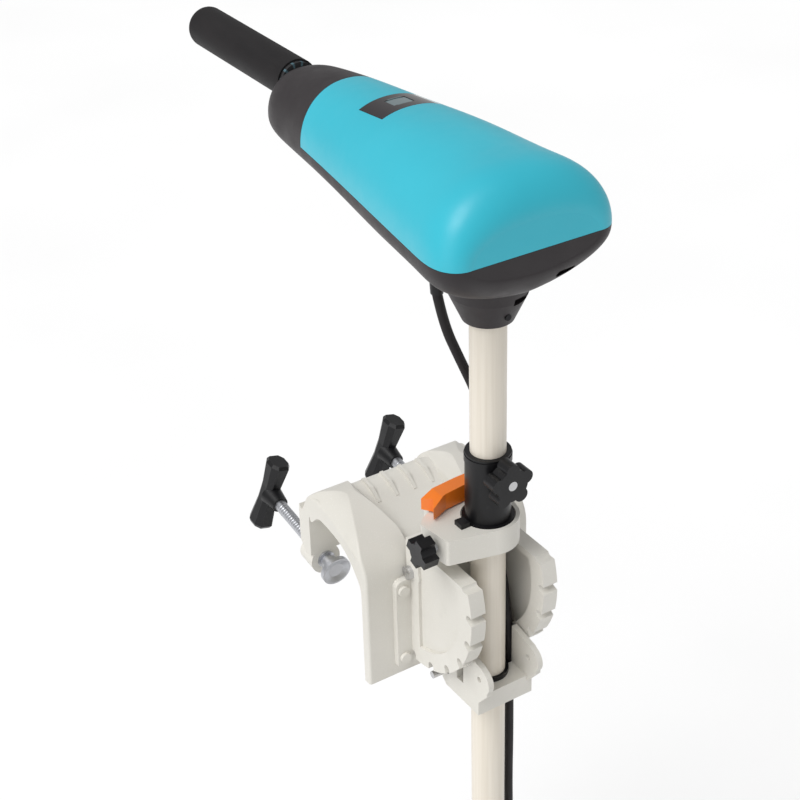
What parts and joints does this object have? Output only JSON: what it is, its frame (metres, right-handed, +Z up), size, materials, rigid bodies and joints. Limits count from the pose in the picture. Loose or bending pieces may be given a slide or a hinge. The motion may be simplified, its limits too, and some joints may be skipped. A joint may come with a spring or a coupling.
{
  "type": "trolling motor",
  "caption": "Transom-mount electric trolling motor with clamp bracket, tilting yoke, steering shaft, twist-grip control head and propeller",
  "frame": {"origin": "centre of the clamp bracket's flat face that rests on the outside of the transom", "axes": "+Y from the water into the boat, +Z up along the shaft at rest, X across the boat"},
  "size_m": [0.231, 0.6261, 1.1533],
  "materials": {
    "bracket_white": "satin glass-filled nylon",
    "black_plastic": "fine-grained black nylon",
    "orange_plastic": "bright orange moulding",
    "zinc_steel": "zinc plated",
    "blackened_steel": "black oxide",
    "stainless": "plain stainless",
    "beige_shaft": "satin composite tube",
    "turquoise_cover": "satin-gloss moulding",
    "charcoal_housing": "dark warm-grey moulding",
    "smoked_window": "dark smoked acrylic",
    "display_glass": "pale grey liquid crystal",
    "board_green": "solder-masked circuit board",
    "grip_rubber": "matt moulded rubber",
    "light_ring": "pale printed ring",
    "pod_paint": "satin powder coat on aluminium",
    "magnet_ferrite": "sintered ferrite",
    "armature_steel": "varnished laminations and copper",
    "copper": "copper segments",
    "fibre_board": "phenolic board",
    "carbon": "carbon graphite",
    "seal_rubber": "nitrile seal",
    "cable_jacket": "black twin-core jacket",
    "lead_red": "red and black wire insulation"
  },
  "bodies": {
    "bracket": {"clamp_bracket": "bracket_white", "tilt_bracket": "bracket_white", "bracket_bolts": "bracket_white", "clamp_nuts": "zinc_steel", "tilt_pin": "stainless"},
    "clamp_slider_left": {"clamp_pad_left": "zinc_steel"},
    "clamp_slider_right": {"clamp_pad_right": "zinc_steel"},
    "clamp_drive_left": {"clamp_screw_left": "zinc_steel", "clamp_handle_left": "black_plastic"},
    "clamp_drive_right": {"clamp_screw_right": "zinc_steel", "clamp_handle_right": "black_plastic"},
    "yoke": {"yoke": "bracket_white", "upper_bush": "black_plastic", "lower_bush": "black_plastic", "lever_pin": "stainless", "lock_spring": "stainless"},
    "lever": {"release_lever": "orange_plastic"},
    "lock": {"lock_bar": "stainless", "lock_rod": "stainless"},
    "tension": {"tension_screw": "zinc_steel", "tension_knob": "black_plastic"},
    "collar": {"depth_collar": "black_plastic"},
    "collar_clamp": {"collar_screw": "stainless", "collar_knob": "black_plastic"},
    "upright": {"shaft": "beige_shaft", "motor_leads": "lead_red", "cover": "turquoise_cover", "display_window": "smoked_window", "display_panel": "display_glass", "lower_housing": "charcoal_housing", "head_boss": "charcoal_housing", "boss_screw": "blackened_steel", "cover_screws": "stainless", "control_board": "board_green", "speed_pot": "black_plastic", "handle_bearing": "black_plastic", "motor_housing": "pod_paint", "nose_cone": "pod_paint", "rear_bell": "pod_paint", "through_bolts": "stainless", "field_magnets": "magnet_ferrite", "brush_plate": "fibre_board", "brushes": "carbon", "motor_bearings": "stainless", "shaft_seal": "seal_rubber", "cable_gland": "black_plastic", "battery_cable": "cable_jacket", "cable_hank": "cable_jacket", "hank_tie": "black_plastic", "battery_plug": "black_plastic"},
    "grip": {"handle_rod": "stainless", "pointer_ring": "light_ring", "twist_grip": "grip_rubber"},
    "rotor": {"armature": "armature_steel", "commutator": "copper", "motor_shaft": "stainless", "drive_pin": "stainless", "propeller": "black_plastic", "prop_washer": "stainless", "prop_nut": "black_plastic"}
  },
  "joints": [
    {"name": "clamp_travel_left", "type": "slide", "parent": "bracket", "child": "clamp_slider_left", "axis": [0, -0.9905, -0.1374], "range_m": [-0.004, 0.048]},
    {"name": "clamp_turn_left", "type": "hinge", "parent": "clamp_slider_left", "child": "clamp_drive_left", "pos_m": [-0.0615, 0.1015, 0.0039], "axis": [0, -0.9905, -0.1374], "range_deg": [-480, 5760]},
    {"name": "clamp_travel_right", "type": "slide", "parent": "bracket", "child": "clamp_slider_right", "axis": [0, -0.9905, -0.1374], "range_m": [-0.004, 0.048]},
    {"name": "clamp_turn_right", "type": "hinge", "parent": "clamp_slider_right", "child": "clamp_drive_right", "pos_m": [0.0615, 0.1015, 0.0039], "axis": [0, -0.9905, -0.1374], "range_deg": [-480, 5760]},
    {"name": "tilt", "type": "hinge", "parent": "bracket", "child": "yoke", "pos_m": [0, -0.014, 0.046], "axis": [-1, 0, 0], "range_deg": [0, 74]},
    {"name": "lever_lift", "type": "hinge", "parent": "yoke", "child": "lever", "pos_m": [0.008, -0.033, 0.124], "axis": [0, 1, 0], "range_deg": [0, 30]},
    {"name": "lock_rise", "type": "slide", "parent": "yoke", "child": "lock", "axis": [0, 0, 1], "range_m": [0, 0.01], "deforming": ["lock_spring"]},
    {"name": "tension_turn", "type": "hinge", "parent": "yoke", "child": "tension", "pos_m": [-0.06, -0.065, 0.105], "axis": [1, 0, 0], "range_deg": [-360, 90]},
    {"name": "steer", "type": "hinge", "parent": "yoke", "child": "collar", "pos_m": [0, -0.065, 0.117], "axis": [0, 0, 1], "range_deg": [-90, 90], "deforming": ["battery_cable"]},
    {"name": "collar_knob_turn", "type": "hinge", "parent": "collar", "child": "collar_clamp", "pos_m": [0, -0.09, 0.161], "axis": [0, 1, 0], "range_deg": [-360, 45]},
    {"name": "depth", "type": "slide", "parent": "collar", "child": "upright", "axis": [0, 0, 1], "range_m": [-0.11, 0.22], "deforming": ["battery_cable"]},
    {"name": "throttle", "type": "hinge", "parent": "upright", "child": "grip", "pos_m": [0, 0.207, 0.391], "axis": [0, 1, 0], "range_deg": [-60, 90]},
    {"name": "propeller_spin", "type": "hinge", "parent": "upright", "child": "rotor", "pos_m": [0, -0.065, -0.602], "axis": [0, 1, 0], "continuous": true}
  ],
  "couplings": [
    {"joint": "clamp_travel_left", "follows": "clamp_turn_left", "m_per_rad": 0.00047746},
    {"joint": "clamp_travel_right", "follows": "clamp_turn_right", "m_per_rad": 0.00047746},
    {"joint": "lock_rise", "follows": "lever_lift", "m_per_rad": 0.019099}
  ]
}
